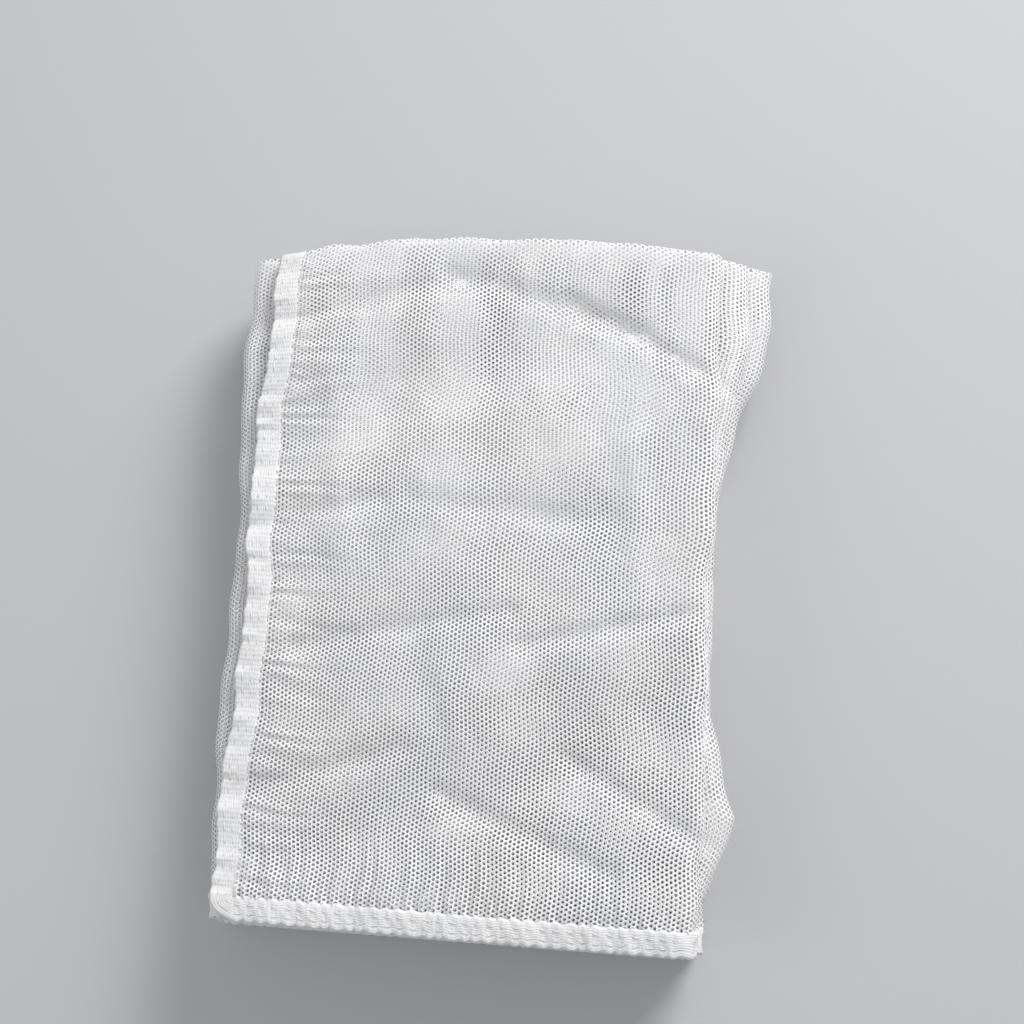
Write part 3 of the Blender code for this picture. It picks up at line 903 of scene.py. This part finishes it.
def place_group(tree, group, **inputs):
    """Node that uses a group, with its inputs linked or set by name."""
    node = tree.nodes.new("ShaderNodeGroup")
    node.node_tree = group
    for name, source in inputs.items():
        if isinstance(source, bpy.types.NodeSocket):
            tree.links.new(source, node.inputs[name])
        else:
            node.inputs[name].default_value = source
    return node


print("node groups:", HONEYCOMB.name, "and", YARN.name)

# %% [markdown]
# The three finishes.
#
# Tulle is dull with a faint sheen, the same on the strands and on the sheet between them, where Alpha
# leaves the holes out. The elastic is duller still, with ribs both ways that are finer than any mesh
# here, so a bump draws them. The thread is the only piece with a little gloss.

# %% Tulle
SHEET_STRANDS = 0.19        # half a strand's width on the sheet, as a share of the pitch


def tulle_material(name, open_holes):
    """White yarn with a soft sheen. Where the strands aren't modelled the holes are in Alpha."""
    material = bpy.data.materials.new(name)
    material.use_nodes = True
    tree = material.node_tree
    shader = tree.nodes["Principled BSDF"]
    where = tree.nodes.new("ShaderNodeTexCoord")
    yarn = place_group(tree, YARN, Vector=where.outputs["Object"])
    tree.links.new(yarn.outputs["Color"], shader.inputs["Base Color"])
    shader.inputs["Roughness"].default_value = 0.62
    shader.inputs["Sheen Weight"].default_value = 0.25
    shader.inputs["Sheen Roughness"].default_value = 0.4
    if open_holes:
        cloth = tree.nodes.new("ShaderNodeUVMap")
        cloth.uv_map = "cloth"
        mesh = place_group(tree, HONEYCOMB, Vector=cloth.outputs["UV"], Pitch=HOLE_PITCH,
                           Strand=SHEET_STRANDS)
        tree.links.new(mesh.outputs["Strands"], shader.inputs["Alpha"])
    return material


# %% Elastic and thread
# Columns: direction of the ribs on the UV map, and from one to the next
ELASTIC_RIBS = (("X", 1.15 * MM), ("Y", 0.6 * MM))
WAVE_SCALE = math.pi / 10   # a wave texture of this scale has one band in a metre


def elastic_material():
    """Gathered edge: fine wrinkles across the elastic, finer ribs along it, and the grain of the yarn."""
    material = bpy.data.materials.new("gathered_elastic")
    material.use_nodes = True
    tree = material.node_tree
    shader = tree.nodes["Principled BSDF"]
    where = tree.nodes.new("ShaderNodeTexCoord")
    yarn = place_group(tree, YARN, Vector=where.outputs["Object"], Size=90.0,
                       Cool=(0.79, 0.795, 0.82, 1), Warm=(0.85, 0.845, 0.84, 1))
    tree.links.new(yarn.outputs["Color"], shader.inputs["Base Color"])
    shader.inputs["Roughness"].default_value = 0.7
    cloth = tree.nodes.new("ShaderNodeUVMap")
    cloth.uv_map = "cloth"
    heights = []
    for direction, spacing in ELASTIC_RIBS:
        ribs = wire(tree, "ShaderNodeTexWave", cloth.outputs["UV"], bands_direction=direction)
        ribs.inputs["Scale"].default_value = WAVE_SCALE / spacing
        ribs.inputs["Distortion"].default_value = 2.5
        ribs.inputs["Detail Scale"].default_value = 0.8
        heights.append(ribs.outputs["Fac"])
    grain = wire(tree, "ShaderNodeTexNoise", cloth.outputs["UV"])
    grain.inputs["Scale"].default_value = 2600.0
    ribbed = wire(tree, "ShaderNodeMath", *heights, operation="ADD")
    height = wire(tree, "ShaderNodeMath", ribbed.outputs[0], grain.outputs["Fac"], operation="ADD")
    bump = tree.nodes.new("ShaderNodeBump")
    bump.inputs["Strength"].default_value = 0.5
    bump.inputs["Distance"].default_value = 0.09 * MM
    tree.links.new(height.outputs[0], bump.inputs["Height"])
    tree.links.new(bump.outputs["Normal"], shader.inputs["Normal"])
    return material


def thread_material():
    """White polyester thread, a little brighter and glossier than the cloth round it."""
    material = bpy.data.materials.new("sewing_thread")
    material.use_nodes = True
    tree = material.node_tree
    shader = tree.nodes["Principled BSDF"]
    where = tree.nodes.new("ShaderNodeTexCoord")
    yarn = place_group(tree, YARN, Vector=where.outputs["Object"], Size=400.0)
    tree.links.new(yarn.outputs["Color"], shader.inputs["Base Color"])
    shader.inputs["Roughness"].default_value = 0.4
    return material


sheet_finish = tulle_material("tulle_layers", open_holes=True)
strand_finish = tulle_material("tulle_strands", open_holes=False)
net_sheet.data.materials.append(sheet_finish)
for piece in open_meshes:
    piece.data.materials.append(strand_finish)
border.data.materials.append(elastic_material())
stitches.data.materials.append(thread_material())

# %% [markdown]
# Tell the frame what the pieces are.
#
# Every piece rides on the packet's one body. The cloth pieces stand for the solid net and the ring
# for the solid border.

# %% Ride and replace
for piece in (net_sheet, *open_meshes, border, stitches):
    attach(piece, "root")
for piece in (net_sheet, *open_meshes):
    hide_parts("net")
for piece in (border, stitches):
    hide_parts("elastic_border")

# %% [markdown]
# Floor, light and camera.
#
# The floor is pale but darker than the net, so that the thin flaps show against it. The camera looks
# down on the packet from its lower right, at the angle of the photograph.

# %% Floor
FLOOR_HALF = 5.0


def make_floor():
    """Large flat square under the packet."""
    points = FLOOR_HALF * np.array([(-1, -1, 0), (1, -1, 0), (1, 1, 0), (-1, 1, 0)], float)
    floor = make_mesh("floor", points, np.array([[0, 1, 2, 3]]), points[:, :2])
    material = bpy.data.materials.new("pale_floor")
    material.use_nodes = True
    shader = material.node_tree.nodes["Principled BSDF"]
    shader.inputs["Base Color"].default_value = (0.57, 0.575, 0.585, 1)
    shader.inputs["Roughness"].default_value = 0.8
    floor.data.materials.append(material)


make_floor()

# %% Light
BEAM = math.radians(110)
# Columns: name, place in metres, side of the square in metres, watts, colour
LIGHTS = (
    ("key", (0.58, 0.82, 0.58), 0.5, 4.8, (1.0, 0.99, 0.975)),
    ("fill", (-0.9, -0.3, 0.8), 0.8, 0.75, (0.97, 0.98, 1.0)),
)


def add_light(name, location, size, energy, color):
    """Square area light that points at the packet, with a beam that leaves the floor below it dark."""
    light = bpy.data.lights.new(name, "AREA")
    light.spread = BEAM
    light.shape, light.size, light.energy, light.color = "SQUARE", size, energy, color
    lamp = bpy.data.objects.new(name, light)
    lamp.location = location
    lamp.rotation_euler = (-lamp.location).to_track_quat("-Z", "Y").to_euler()
    bpy.context.collection.objects.link(lamp)


for values in LIGHTS:
    add_light(*values)
world = bpy.data.worlds.new("studio")
world.use_nodes = True
world.node_tree.nodes["Background"].inputs["Color"].default_value = (0.97, 0.98, 1.0, 1)
world.node_tree.nodes["Background"].inputs["Strength"].default_value = 0.45
bpy.context.scene.world = world
bpy.context.scene.view_settings.view_transform = "Standard"
print("lights:", ", ".join(values[0] for values in LIGHTS), "and an even sky")

# %% Camera
PHOTO_SIZE = 1024
FOCAL_PIXELS = 2500         # the focal length, counted in that picture's pixels
CAMERA_PLACE = (0.1605 + SHIFT_X, -0.0700 + SHIFT_Y, 0.5943)
CAMERA_TURN = (9.48, 14.09, 3.95)   # degrees about X, Y and Z
camera_data = bpy.data.cameras.new("camera")
camera_data.lens = FOCAL_PIXELS / PHOTO_SIZE * camera_data.sensor_width
camera = bpy.data.objects.new("camera", camera_data)
camera.location = CAMERA_PLACE
camera.rotation_euler = [math.radians(turn) for turn in CAMERA_TURN]
bpy.context.collection.objects.link(camera)
bpy.context.scene.camera = camera
print(f"camera: {camera_data.lens:.1f} mm lens, {CAMERA_PLACE[2]:.2f} m above the floor")
